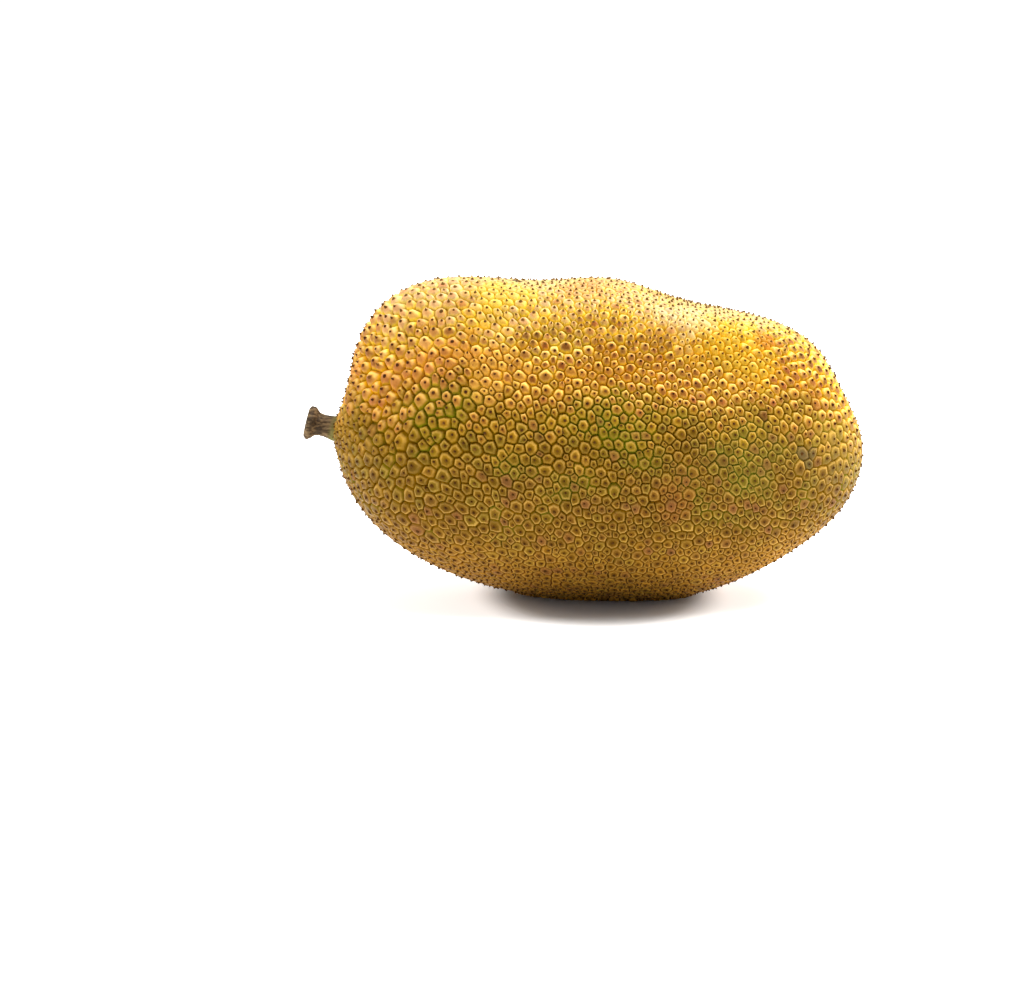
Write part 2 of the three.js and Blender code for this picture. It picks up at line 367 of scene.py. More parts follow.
depth = between(*GROOVE_DEPTH, domed) * relative_size**DEPTH_BY_SIZE
depth *= 1 + PAD_VARIATION * rng.uniform(-1, 1, TUBERCLES)
at_blossom_end = np.clip((crown_form[:, 0] - BLOSSOM_FROM) / BLOSSOM_LENGTH, 0, 1)
depth *= 1 - BLOSSOM_SHALLOWER * at_blossom_end
print("grooves are", np.percentile(depth, [2, 50, 98]).round(1), "mm deep")

# %% [markdown]
# ## The rings of a pad
#
# From the groove a pad rises steeply to its shoulder, and from there gently to its crown. A
# subdivided mesh would round all of it alike and cost more faces. So each pad is built from
# rings, where the shape turns: the groove, a shoulder of twelve points or so, an inner ring of
# six, and the crown. Each ring lies a share of the way from the crown to the groove, and drops
# by a share of the groove's depth.

# %% Rings
SHOULDER_AT = (0.8, 0.7)  # of the way from the crown to the groove
SHOULDER_DROP = (0.03, 0.38)  # of the groove's depth
SIDE_SHARE = 0.9  # of that drop, halfway between two corners
INNER_AT = (0.52, 0.42)
INNER_DROP = (0.06, -0.02)
CROWN_DROP = (0.12, 0)  # a dished pad's crown is lower than its shoulder
CORNER_ROUNDING = (-0.02, 0.02)  # how much nearer the crown the shoulder is at a corner
GROOVE_VARIATION = 0.2

wedge_domed = domed[start]
shoulder_at = between(*SHOULDER_AT, wedge_domed)
inner_at = between(*INNER_AT, wedge_domed)
wedge_corner_form = corner_form[wedge_corner]


def ring(target_form, share):
    """Unit directions that far from each wedge's crown to its target."""
    return toward_form(between(crown_form[start], target_form, share[:, None]))


ring_directions = {
    "corner": toward_form(corner_form),
    "shoulder side": ring(side_form, shoulder_at),
    "shoulder corner": ring(wedge_corner_form, shoulder_at - between(*CORNER_ROUNDING, wedge_domed)),
    "inner": ring(wedge_corner_form, inner_at),
    "crown": toward_form(crown_form),
}
shoulder_drop = (depth * between(*SHOULDER_DROP, domed))[start]
corner_depth = depth[triangles].mean(axis=1)
corner_depth *= 1 + GROOVE_VARIATION * rng.uniform(-1, 1, len(triangles))
depths = {
    "corner": corner_depth,
    "shoulder side": shoulder_drop * SIDE_SHARE,
    "shoulder corner": shoulder_drop,
    "inner": (depth * between(*INNER_DROP, domed))[start],
    "crown": depth * between(*CROWN_DROP, domed),
}
print({name: round(float(values.mean()), 2) for name, values in depths.items()}, "mm deep")

# %% [markdown]
# ## Laying the rings on the body
#
# Each point is found on the body's outline and then lowered along the outline's normal. Where
# the outline would go below the floor, the fruit's own weight has pressed it flat, so its points
# stay on the floor.

# %% Points on the skin
CROWN_DEPTH = 0.8  # below the outline, which the dried tips reach

lift = -outline(toward)[:, 2].min() - PRESSED


def placed(toward, depth):
    """Points that far under the outline, standing on the floor, with the outline's normals."""
    skin = outline(toward)
    normals = outward(toward)
    points = skin - normals * (CROWN_DEPTH + depth)[:, None]
    floor_gap = skin[:, 2] + lift - CROWN_DEPTH
    points[:, 2] = np.where(floor_gap < 0, 0, np.maximum(points[:, 2] + lift, 0))
    return points, normals


ring_points, ring_normals, first_index, total = {}, {}, {}, 0
for name, directions in ring_directions.items():
    ring_points[name], ring_normals[name] = placed(directions, depths[name])
    first_index[name] = total
    total += len(directions)
print(total, "points,", (ring_points["crown"][:, 2] == 0).sum(), "crowns pressed on the floor")

# %% Seven triangles for each wedge
index = {
    "corner": first_index["corner"] + wedge_corner,
    "last corner": first_index["corner"] + wedge_corner[twin],
    "crown": first_index["crown"] + start,
}
for name in ("shoulder side", "shoulder corner", "inner"):
    index[name] = first_index[name] + np.arange(wedges)
    index["last " + name] = index[name][before]

WEDGE_TRIANGLES = [
    ("last corner", "corner", "shoulder side"),
    ("last corner", "shoulder side", "last shoulder corner"),
    ("corner", "shoulder corner", "shoulder side"),
    ("last shoulder corner", "shoulder side", "last inner"),
    ("shoulder side", "inner", "last inner"),
    ("shoulder side", "shoulder corner", "inner"),
    ("last inner", "inner", "crown"),
]
faces = np.concatenate([np.stack([index[n] for n in names], 1) for names in WEDGE_TRIANGLES])
face_tubercle = np.tile(start, len(WEDGE_TRIANGLES))
print(len(faces), "triangles,", round(len(faces) / TUBERCLES), "to a tubercle")

# %% [markdown]
# ## From arrays to a mesh
#
# A mesh of this size is quickest to make straight from arrays. Facts that the material needs go
# along as attributes: how far out on its pad a point is, how much the skin there faces up, where
# the pad's crown is, and the tubercle's own chance numbers. What is the same all over a pad is
# kept on its faces, so it doesn't blur into the next pad.
#
# The grooves are marked sharp, so the shading breaks there and the pads read as separate.

# %% Mesh maker


def make_piece(name, points, faces, point_facts, face_facts):
    mesh = bpy.data.meshes.new(name)
    mesh.from_pydata((points * MM).tolist(), [], faces.tolist())
    mesh.shade_smooth()
    for domain, facts in (("POINT", point_facts), ("FACE", face_facts)):
        for fact, values in facts.items():
            values = np.asarray(values, np.float32)
            kind, key = ("FLOAT", "value") if values.ndim == 1 else ("FLOAT_VECTOR", "vector")
            mesh.attributes.new(fact, kind, domain).data.foreach_set(key, values.ravel())
    piece = bpy.data.objects.new(name, mesh)
    bpy.context.collection.objects.link(piece)
    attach(piece, "root")
    print(name, len(mesh.polygons), "faces")
    return piece


# %% Rind
RADIALS = {  # how far out each ring counts as, from the crown to the groove
    "corner": 1,
    "shoulder side": 0.8,
    "shoulder corner": 0.78,
    "inner": 0.42,
    "crown": 0,
}


def joined(parts):
    return np.concatenate([parts[name] for name in ring_directions])


rind = make_piece(
    "rind",
    joined(ring_points),
    faces,
    point_facts={
        "radial": joined({n: np.full(len(d), RADIALS[n]) for n, d in ring_directions.items()}),
        "facing_up": joined(ring_normals)[:, 2],
    },
    face_facts={
        "crown_at": ring_points["crown"][face_tubercle] * MM,
        "draws": draws[face_tubercle],
    },
)
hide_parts("fruit")

# %% Sharp grooves
radial_values = np.zeros(len(rind.data.vertices), np.float32)
rind.data.attributes["radial"].data.foreach_get("value", radial_values)
edge_ends = np.zeros(len(rind.data.edges) * 2, np.int32)
rind.data.edges.foreach_get("vertices", edge_ends)
sharp = (radial_values[edge_ends.reshape(-1, 2)] == RADIALS["corner"]).all(axis=1)
rind.data.attributes.new("sharp_edge", "BOOLEAN", "EDGE").data.foreach_set("value", sharp)
print(sharp.sum(), "groove edges are sharp")

# %% [markdown]
# ## The dried tips
#
# Each tubercle was a flower, and the end of its style dries to a small dark thorn that breaks
# the outline of the fruit. They could be cones placed by a particle system, but instances like
# that are hard to hand on, so they are one mesh of bent six-sided cones, sunk a little into the
# crowns. Their lean, height and girth vary with chance and with their pad, some are worn to
# stumps, and those under the fruit are gone.

# %% Tip sizes
TIP_HEIGHT = (1.0, 1.9)
TIP_RADIUS = (0.55, 1.0)
TIP_LEAN = 0.35
HEIGHT_BY_PAD = (0.85, 1.1)  # on a dished pad and on a domed one
STOUTER_ON_TOP = 0.35
WORN_SHARE = 0.08
WORN_HEIGHT = 0.35
FLOOR_ROOM = 1.5  # millimetres that a crown needs under it to have kept its tip
ASKEW = [[0.3, 0.1, 1]]  # a direction that hardly any crown faces, to measure turns from

crowns, crown_normals = ring_points["crown"], ring_normals["crown"]
kept = np.flatnonzero(crowns[:, 2] > FLOOR_ROOM)
tip_draws = rng.random((len(kept), 4))
tip_radius = between(*TIP_RADIUS, tip_draws[:, 0]) * relative_size[kept]
tip_radius *= 1 + STOUTER_ON_TOP * np.abs(crown_up[kept])
tip_height = between(*TIP_HEIGHT, tip_draws[:, 1]) * between(*HEIGHT_BY_PAD, domed[kept])
tip_height[tip_draws[:, 2] < WORN_SHARE] *= WORN_HEIGHT

out = crown_normals[kept]
across = unit(np.cross(out, ASKEW))
over = np.cross(out, across)
lean_turn = tip_draws[:, 3] * math.tau
lean = (across * np.cos(lean_turn)[:, None] + over * np.sin(lean_turn)[:, None]) * TIP_LEAN
print(len(kept), "tips, about", round(float(tip_height.mean()), 2), "mm high")

# %% Tip points
TIP_SIDES = 6
TIP_SINK = 0.5
# Each ring's height, in millimetres below the crown or in shares above it, its girth and its lean
TIP_RINGS = [(-TIP_SINK, 1.0, 0.0), (0.15, 0.92, 0.1), (0.7, 0.45, 0.7)]

tip_points, tip_heights = [], []
for height, girth, leaning in TIP_RINGS:
    rise = np.where(height < 0, height, height * tip_height)
    for side in range(TIP_SIDES):
        turn = math.tau * side / TIP_SIDES
        spoke = across * math.cos(turn) + over * math.sin(turn)
        point = crowns[kept] + out * rise[:, None] + lean * leaning
        tip_points.append(point + spoke * (tip_radius * girth)[:, None])
        tip_heights.append(np.full(len(kept), max(height, 0)))
tip_points.append(crowns[kept] + out * tip_height[:, None] + lean)
tip_heights.append(np.ones(len(kept)))
tip_points.append(crowns[kept] - out * TIP_SINK)
tip_heights.append(np.zeros(len(kept)))
print(len(tip_points), "points to a tip")

# %% Tip faces
apex = len(TIP_RINGS) * TIP_SIDES
foot = apex + 1
last_ring = apex - TIP_SIDES
one_tip = []
for side in range(TIP_SIDES):
    ahead = (side + 1) % TIP_SIDES
    one_tip.append((foot, ahead, side))
    for low in range(0, last_ring, TIP_SIDES):
        high = low + TIP_SIDES
        one_tip.append((low + side, low + ahead, high + ahead))
        one_tip.append((low + side, high + ahead, high + side))
    one_tip.append((last_ring + side, last_ring + ahead, apex))
one_tip = np.array(one_tip)
tip_faces = (one_tip[None] * len(kept) + np.arange(len(kept))[:, None, None]).reshape(-1, 3)
tip_tubercle = np.repeat(np.arange(len(kept)), len(one_tip))

tips = make_piece(
    "style_tips",
    np.concatenate(tip_points),
    tip_faces,
    point_facts={"tip_height": np.concatenate(tip_heights)},
    face_facts={
        "draws": draws[kept][tip_tubercle],
        "skin_up": out[tip_tubercle, 2],
    },
)
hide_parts("fruit")

# %% [markdown]
# ## The stalk
#
# The stalk is woody and as thick as a finger. It was cut just past a swollen joint, so the stub
# ends in a knob with a dished, weathered face. It could be a lathe turned in one go, but bark is
# never round: the stub is a tube of rings whose radius is the solid's profile times ridges,
# wrinkles and random scurf.

# %% Stalk profile
STALK_RADIUS = 7.6
STALK_REACH = 18.5
STALK_SUNK = 9
KNOB_RADIUS = 11.2
JOINT = STALK_REACH - 5  # where the neck swells into the knob
KNOB_MIDDLE = JOINT + 1.6
FACE_EDGE = JOINT + 3.4  # where the knob's side turns over into its cut face
SIDE_RINGS = 56
FACE_RINGS = 17
INNERMOST_SHARE = 0.04
SMOOTHED_RINGS = 7
FACE_PARTS = 5  # the outermost of them rounds over into the knob's side
DISH = 0.9  # how deep the cut face is dished
DISH_RIM = 0.75  # and out to what share of its radius
DISH_POWER = 0.7
PROFILE = {  # radius by height above the fruit's skin
    -STALK_SUNK: 1.25 * STALK_RADIUS,
    0: 1.08 * STALK_RADIUS,
    JOINT * 0.35: 0.97 * STALK_RADIUS,
    JOINT * 0.6: 0.95 * STALK_RADIUS,
    JOINT * 0.85: 1.04 * STALK_RADIUS,
    JOINT: 0.92 * KNOB_RADIUS,
    KNOB_MIDDLE: KNOB_RADIUS,
    FACE_EDGE: 0.98 * KNOB_RADIUS,
}

side_rings = np.linspace(-STALK_SUNK, FACE_EDGE, SIDE_RINGS)
side_radii = np.interp(side_rings, list(PROFILE), list(PROFILE.values()))
kernel = np.hanning(SMOOTHED_RINGS) / np.hanning(SMOOTHED_RINGS).sum()
side_radii = np.convolve(np.pad(side_radii, SMOOTHED_RINGS // 2, "edge"), kernel, "valid")
face_shares = np.linspace(1, INNERMOST_SHARE, FACE_RINGS + 1)[1:]
rounding = np.clip((1 - face_shares) * FACE_PARTS, 0, 1)
face_rise = (STALK_REACH - FACE_EDGE) * np.sin(rounding * math.pi / 2)
face_dish = DISH * np.clip((DISH_RIM - face_shares) / DISH_RIM, 0, 1) ** DISH_POWER
ring_heights = np.concatenate([side_rings, FACE_EDGE + face_rise - face_dish])
ring_radii = np.concatenate([side_radii, side_radii[-1] * face_shares])
on_face = np.concatenate([np.zeros(SIDE_RINGS), 1 - face_shares])
print("neck", round(2 * side_radii.min(), 1), "mm thick, knob", round(2 * side_radii.max(), 1))

# %% Bark
STALK_SIDES = 120
BARK_RIDGES = 5
RIDGE_SHARE = 0.05  # of the radius
FISSURE_SHARE = 0.025
SCURF_SHARE = 0.006
WRINKLE_SHARE = 0.007

turns = np.arange(STALK_SIDES) / STALK_SIDES * math.tau
height, turn = np.meshgrid(ring_heights, turns, indexing="ij")
bark = np.clip(height / JOINT, 0, 1) * (1 - 0.6 * (on_face > 0))[:, None]
ridges = np.cos(BARK_RIDGES * turn + height / 6) + 0.6 * np.cos(2 * turn + 1)
fissures = -np.abs(np.sin(9.5 * turn + 1.3 * np.sin(height / 2.1) + 0.4 * height)) ** 6
scurf = rng.normal(0, 1, height.shape)
scurf = sum(np.roll(scurf, (a, b), (0, 1)) for a in (-1, 0, 1) for b in (-1, 0, 1)) / 3
wrinkles = np.sin(height * 2.2 + 1.7 * np.sin(turn * 3)) * (height > 0)
swell = 1 + RIDGE_SHARE * bark * ridges + FISSURE_SHARE * fissures
swell = swell + SCURF_SHARE * scurf + WRINKLE_SHARE * wrinkles
reach = ring_radii[:, None] * swell
print("bark swells the stub by", (swell.min() - 1).round(3), "to", (swell.max() - 1).round(3))

# %% Stalk mesh
STALK_TILT = math.radians(14)

grow = np.array([-math.cos(STALK_TILT), 0, math.sin(STALK_TILT)])
side_way = np.array([0, 1.0, 0])
top_way = np.cross(grow, side_way)
stalk_skin = stalk_foot + [0, 0, lift]
stalk_points = (
    stalk_skin
    + height[..., None] * grow
    + (reach * np.cos(turn))[..., None] * side_way
    + (reach * np.sin(turn))[..., None] * top_way
).reshape(-1, 3)
stalk_ends = np.stack([stalk_skin + ring_heights[0] * grow, stalk_skin + ring_heights[-1] * grow])
stalk_points = np.concatenate([stalk_points, stalk_ends])

here = np.arange(height.size).reshape(height.shape)
ahead = np.roll(here, -1, axis=1)
quads = np.stack([here[:-1], here[1:], ahead[1:], ahead[:-1]], -1).reshape(-1, 4)
low_end, high_end = len(stalk_points) - 2, len(stalk_points) - 1
low_fan = np.stack([ahead[0], np.full(STALK_SIDES, low_end), here[0]], -1)
high_fan = np.stack([here[-1], np.full(STALK_SIDES, high_end), ahead[-1]], -1)
stalk_faces = np.concatenate([quads[:, [0, 1, 2]], quads[:, [0, 2, 3]], low_fan, high_fan])
stalk = make_piece(
    "stalk_stub",
    stalk_points,
    stalk_faces,
    point_facts={
        "height": np.append(np.repeat(ring_heights, STALK_SIDES), [-STALK_SUNK, STALK_REACH]),
        "cut_face": np.append(np.repeat(on_face, STALK_SIDES), [0, 1]),
    },
    face_facts={},
)
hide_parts("stalk")

# %% [markdown]
# ## Node materials as sums
#
# A material is a small program, and it reads best as one. `Wire` wraps a socket, so Python's own
# operators add Math nodes, and `Finish.node` makes any other node from its type, its settings
# and what goes into its sockets. The world has a tree of nodes too, so it is a `Finish` as well.

# %% Wires


class Wire:
    def __init__(self, finish, socket):
        self.finish, self.socket = finish, socket

    def sum_with(self, operation, *others):
        values = dict(enumerate(others))
        return self.finish.node("ShaderNodeMath", {"operation": operation}, values)

    def __add__(self, other):
        return self.sum_with("ADD", self, other)

    def __sub__(self, other):
        return self.sum_with("SUBTRACT", self, other)

    def __rsub__(self, other):
        return self.sum_with("SUBTRACT", other, self)

    def __mul__(self, other):
        return self.sum_with("MULTIPLY", self, other)

    def __truediv__(self, other):
        return self.sum_with("DIVIDE", self, other)

    def __pow__(self, other):
        return self.sum_with("POWER", self, other)

    __radd__, __rmul__ = __add__, __mul__

    def ramp(self, low, high):
        """0 below low and 1 above high, or the other way round, with soft ends."""
        down = low > high
        low, high = min(low, high), max(low, high)
        settings = {"interpolation_type": "SMOOTHSTEP"}
        ends = {1: low, 2: high, 3: float(down), 4: float(not down)}
        return self.finish.node("ShaderNodeMapRange", settings, {0: self, **ends})


print("a Wire knows", [name for name in vars(Wire) if name.startswith("__r")], "too")

# %% Finishes


class Finish:
    def __init__(self, owner):
        owner.use_nodes = True
        self.owner, self.tree = owner, owner.node_tree
        self.tree.nodes.clear()

    def node(self, kind, settings=None, values=None, output=0):
        made = self.tree.nodes.new(kind)
        for setting, value in (settings or {}).items():
            setattr(made, setting, value)
        for socket, value in (values or {}).items():
            if isinstance(value, Wire):
                self.tree.links.new(value.socket, made.inputs[socket])
            else:
                made.inputs[socket].default_value = value
        return Wire(self, made.outputs[output]) if made.outputs else None

    def fact(self, name, output="Fac"):
        return self.node("ShaderNodeAttribute", {"attribute_name": name}, output=output)

    def parts(self, vector):
        split = self.node("ShaderNodeSeparateXYZ", {}, {0: vector}).socket.node
        return [Wire(self, output) for output in split.outputs]

    def place(self):
        return self.node("ShaderNodeTexCoord", output="Object")

    def noise(self, size, detail=2, place=None):
        """Noise from 0 to 1 whose blotches are about that many millimetres across."""
        values = {"Vector": place or self.place(), "Scale": 1 / (size * MM), "Detail": detail}
        return self.node("ShaderNodeTexNoise", {}, values)

    def mix(self, first, second, share):
        """The share of the second colour laid over the first. A colour can be a web code."""
        first, second = (colour(c) if isinstance(c, str) else c for c in (first, second))
        return self.node("ShaderNodeMix", {"data_type": "RGBA"}, {0: share, 6: first, 7: second}, 2)

    def bump(self, height, distance, strength):
        values = {"Height": height, "Distance": distance * MM, "Strength": strength}
        return self.node("ShaderNodeBump", {}, values)

    def surface(self, piece, **values):
        shader = self.node("ShaderNodeBsdfPrincipled", {}, values)
        self.node("ShaderNodeOutputMaterial", {}, {"Surface": shader})
        piece.data.materials.append(self.owner)
        print(self.owner.name, "has", len(self.tree.nodes), "nodes")


def colour(code):
    """A web colour code as the linear red, green, blue and alpha that nodes work in."""
    parts = np.array([int(code[i : i + 2], 16) for i in (1, 3, 5)]) / 255
    linear = np.where(parts <= 0.04045, parts / 12.92, ((parts + 0.055) / 1.055) ** 2.4)
    return (*linear.tolist(), 1.0)


print("straw yellow in linear light:", [round(part, 3) for part in colour("#e9c76c")])

# %% [markdown]
# ## How ripe the skin is
#
# A ripe rind is not one colour. The pads on top have turned straw yellow and those on the upper
# flank orange tan, while the sides are still olive and the underside is brown. The borders could
# be painted, but one mask of ripeness can drive them all. It comes from how much the skin faces
# up, plus a lean towards the stalk end, broad noise and a little chance for each tubercle, so
# its borders wander. Three zones are read from it: the upper skin, the orange flank along its
# lower border, and all the skin that light has reached, as against the underside.

# %% Ripeness
finish = Finish(bpy.data.materials.new("ripe_rind"))
facing_up = finish.fact("facing_up")
draw_value, draw_hue, draw_mark = finish.parts(finish.fact("draws", "Vector"))
crown_at = finish.fact("crown_at", "Vector")
lengthwise = finish.parts(finish.place())[0]
broad = finish.noise(70, detail=3) - 0.5
patch = finish.noise(26, place=crown_at) - 0.5
blossom_end = lengthwise.ramp(0.11, 0.17)

ripeness = facing_up * 0.5 + 0.5 + broad * 0.18 + patch * 0.14 + (draw_hue - 0.5) * 0.1
ripeness = ripeness - lengthwise * 0.35 + blossom_end * 0.14
upper = ripeness.ramp(0.6, 0.8)
flank = upper * ripeness.ramp(0.95, 0.8)
lit = ripeness.ramp(0.3, 0.5)
print("ripeness takes", len(finish.tree.nodes), "nodes")

# %% Colours by ripeness
PAD_COLOURS = {
    0.0: "#a87420",
    0.33: "#68480e",
    0.5: "#6e5010",
    0.66: "#9a7218",
    0.78: "#e4b250",
    0.88: "#e9c76c",
    0.97: "#dcc48c",
}
GROOVE_COLOURS = {
    0.0: "#70420a",
    0.33: "#725000",
    0.5: "#7e5a00",
    0.66: "#866400",
    0.78: "#dca818",
    0.88: "#f2d03c",
    0.97: "#e6ca66",
}


def ramp_colour(share, stops):
    """Mixes colours one after another as the share passes their places."""
    (last, mixed), *rest = stops.items()
    for at, code in rest:
        mixed = finish.mix(mixed, code, share.ramp(last, at))
        last = at
    return mixed


pad = ramp_colour(ripeness, PAD_COLOURS)
groove = ramp_colour(ripeness, GROOVE_COLOURS)
print(len(PAD_COLOURS), "colours of pads and", len(GROOVE_COLOURS), "of grooves")

# %% [markdown]
# ## The zones of one pad
#
# Across a pad the skin changes again: a groove, a raised rim, a hollow stained brown round the
# dried tip, and a dark nib round the tip's foot. All of them are ramps of how far out on the pad
# a point is. On the upper skin the brown is drawn down below the crown as painted shade, so the
# hollow leans on whether a point is above or below its crown. A painted highlight lies on the
# rim's upper side, and under the fruit, where light comes up from the floor, on its lower side.

# %% Zones
DOWN_TO_UP = 2.5  # millimetres above or below its crown where skin counts as fully so

radial = finish.fact("radial")
above = (finish.parts(finish.place())[2] - finish.parts(crown_at)[2]) / (DOWN_TO_UP * MM)
above = above.ramp(-1, 1)
in_groove = (radial + 0.06 + upper * 0.04 + (1 - lit) * 0.02).ramp(0.85, 1.0)
# painted shade: the bottom of the grooves on the upper skin turns a darker orange
painted_crease_shade = radial.ramp(0.88, 1.0) * upper
rim = radial.ramp(0.4, 0.65) * radial.ramp(0.95, 0.78)
# painted highlight on the rim: its upper side where light reaches, its lower side under the fruit
painted_highlight_side = above * lit + (1 - above) * (1 - lit)
# painted shade: on the upper skin the hollow's brown reaches further below the crown than above it
hollow = (radial + upper * (above - 0.75) * 0.45).ramp(0.62, 0.15)
nib = radial.ramp(0.36, 0.14)
print("with the zones,", len(finish.tree.nodes), "nodes")

# %% [markdown]
# ## Pads and grooves together
#
# Every tubercle has its own tint: some are yellower and some redder, most of all on the orange
# flank, where the lower side of each pad is also painted darker as shade. Then the zones are
# laid on, from the pale rim to the dark nib. The grooves go their own way: golden on top, with
# painted orange shade at their bottom, green on the flank, brown below.

# %% Pads
yellower = finish.mix("#7a762a", "#ecc838", upper)
redder = finish.mix("#80542c", "#d67e3a", upper)
pad = finish.mix(pad, yellower, draw_hue.ramp(0.35, 0.0) * 0.25)
pad = finish.mix(pad, redder, draw_hue.ramp(0.65, 1.0) * (0.25 - upper * 0.05 + flank * 0.3))
# painted shade: on the orange flank the lower side of each pad is darker
pad = finish.mix(pad, "#a8601c", (1 - above) * flank * 0.35)

# pale rim colour, laid thinly all round and as a painted highlight on one side of the rim
pale = finish.mix("#d8aa56", "#f0d884", upper)
pad = finish.mix(pad, pale, rim * ((1 - upper) * 0.1 + painted_highlight_side * (0.25 + upper * 0.16)))
# the hollow's brown: partly the pad's own stain round the tip, partly painted shade below it
stain_and_shade = finish.mix(finish.mix("#563802", "#b0581a", upper), "#6a3006", flank)
stain_and_shade_share = (0.52 + flank * 0.28) * (0.8 + draw_mark * 0.4)
pad = finish.mix(pad, stain_and_shade, hollow * stain_and_shade_share)
pad = finish.mix(pad, "#3a1602", nib * 0.35)
print("with the pads' tints,", len(finish.tree.nodes), "nodes")

# %% Skin
# painted shade in orange at the bottom of the grooves
groove = finish.mix(groove, "#c0720c", painted_crease_shade * 0.4)
skin = finish.mix(pad, groove, in_groove)

mottle = finish.noise(1.9, detail=3) - 0.5
# painted light and shade: each pad lighter above its crown and darker below it, less on the very top
painted_light_and_shade = (above - 0.5) * (lit * 0.35 + flank * 0.15 - ripeness.ramp(0.85, 0.97) * 0.2)
value_shift = 1 + (draw_value - 0.5) * 0.24 + patch * 0.2 + mottle * 0.4 + painted_light_and_shade
skin = finish.node("ShaderNodeVectorMath", {"operation": "SCALE"}, {0: skin, 3: value_shift})
print("with light and dark,", len(finish.tree.nodes), "nodes")

# %% [markdown]
# ## Patches and marks
#
# Some changes run over many pads. Soft noise spreads warm patches over the upper skin and green
# ones over the sides, and a few single tubercles are reddish. What this fruit has in one place
# alone, such as a ripe cheek, a green flank or a bruise, is a list of marks. Each is a round
# blot about a place on the outline whose edge noise makes wander, and it takes whole pads,
# because it is measured to their crowns.

# %% Patches
reddish = draw_mark.ramp(0.88, 0.98) * (1 - in_groove * 0.6)
ruddy = finish.mix("#7c4a30", "#a4582c", upper)
skin = finish.mix(skin, ruddy, reddish * 0.42)
warm = finish.noise(38, detail=3, place=crown_at).ramp(0.5, 0.68) * upper
skin = finish.mix(skin, "#cc8030", warm * 0.2)
stalk_end = lengthwise.ramp(-0.03, -0.13) * upper * (1 - in_groove)
skin = finish.mix(skin, "#dc985c", stalk_end * 0.15)
green = finish.noise(24, detail=3, place=crown_at).ramp(0.52, 0.66) * ripeness.ramp(0.2, 0.4) * (1 - upper)
skin = finish.mix(skin, "#6f7a18", green * (0.1 + in_groove * 0.6))
print("with the patches,", len(finish.tree.nodes), "nodes")

# %% Marks
# along and around in degrees, size in mm, colour, share on the pads and in the grooves
MARKS = {
    "sunny patch over the shoulder": (69, 66, 34, "#f0cc28", 0.4, 0.5),
    "sunny patch on the blossom end": (118, 52, 36, "#f0c62c", 0.4, 0.4),
    "pale patch on top": (106, 62, 26, "#f0dcb0", 0.35, 0.5),
    "ripe cheek of the shoulder": (52, 40, 36, "#cc7c3c", 0.3, 0.3),
    "golden flank of the shoulder": (66, 36, 30, "#f0b448", 0.3, 0.35),
    "tan flank of the blossom end": (118, 35, 24, "#b07e28", 0.25, 0.15),
    "straw skin of the blossom end": (156, 14, 46, "#c8b458", 0.1, 0.12),
    "green under the shoulder": (54, 19, 30, "#66800e", 0.12, 0.5),
    "green on the flank": (91, 14, 34, "#66800e", 0.12, 0.45),
    "green by the blossom end": (121, 2, 38, "#6e7a24", 0.12, 0.45),
    "brown on the flank": (104, -10, 26, "#8a4e24", 0.3, 0.3),
    "bruise by the blossom end": (125, 21, 6, "#4e3018", 0.7, 0.7),
    "grey bruise by the blossom end": (136, 5, 9, "#4c4630", 0.6, 0.6),
    "red spot on the blossom end": (126, 60, 10, "#b85a20", 0.5, 0.5),
    "red streak by the blossom end": (140, 36, 9, "#a45426", 0.4, 0.4),
    "peach patch on top": (87, 76, 26, "#da985c", 0.45, 0.35),
    "dark scar on top": (72, 87, 7, "#2a1c10", 0.85, 0.85),
}

wander = (finish.noise(16, detail=3) - 0.5) * 2.4
for along, around, size, code, on_pads, in_grooves in MARKS.values():
    centre = outline(direction(np.radians([along]), np.radians([around])))[0] + [0, 0, lift]
    apart = finish.node(
        "ShaderNodeVectorMath", {"operation": "DISTANCE"}, {0: crown_at, 1: centre * MM}, "Value"
    )
    mark = (apart / (size * MM) + wander).ramp(1.0, 0.35)
    share = on_pads + in_groove * (in_grooves - on_pads)
    skin = finish.mix(skin, code, mark * share)
freckles = finish.noise(3.2, detail=3).ramp(0.6, 0.7) * finish.noise(45).ramp(0.48, 0.62)
skin = finish.mix(skin, "#6a3c1a", freckles * 0.5)
print(len(MARKS), "marks")

# %% [markdown]
# ## The rind's surface
#
# The skin is waxy but dull. A strong reflection would lay white over the yellow, so the
# reflection is weak and tinted like the skin itself. Pores and mottling are too fine for the
# mesh and stay a bump.

# %% Rind surface
WAXY_TINT = (1, 0.7, 0.25, 1)

pores = finish.noise(0.9, detail=3)
finish.surface(
    rind,
    **{
        "Base Color": skin,
        "Roughness": 0.5 + in_groove * 0.2 + (pores - 0.5) * 0.2,
        "Specular IOR Level": 0.08,
        "Specular Tint": WAXY_TINT,
        "Normal": finish.bump(pores + mottle * 0.8, distance=0.5, strength=0.7),
    },
)

# %% [markdown]
# ## The dried tips' finish
#
# Dead tissue: brown where it leaves the pad, nearly black at the point, and dull all over. One
# brown would do for a single tip, but together they would read as printed dots. So some are
# paler by chance, those on the sides are olive, and those that face up are a lighter brown.

# %% Tip finish
finish = Finish(bpy.data.materials.new("dried_tip"))
husk = finish.mix("#5e300a", "#2c1605", finish.fact("tip_height").ramp(0.0, 0.7))
paler = finish.parts(finish.fact("draws", "Vector"))[0].ramp(0.6, 0.95)
husk = finish.mix(husk, "#7a5020", paler * 0.6)
olive = finish.fact("skin_up").ramp(0.5, 0.0)
husk = finish.mix(husk, "#54380a", olive * 0.5)
paler_facing_up = finish.fact("skin_up").ramp(0.55, 0.9)
husk = finish.mix(husk, "#806230", paler_facing_up * 0.6)
finish.surface(tips, **{"Base Color": husk, "Roughness": 0.8, "Specular IOR Level": 0.08})

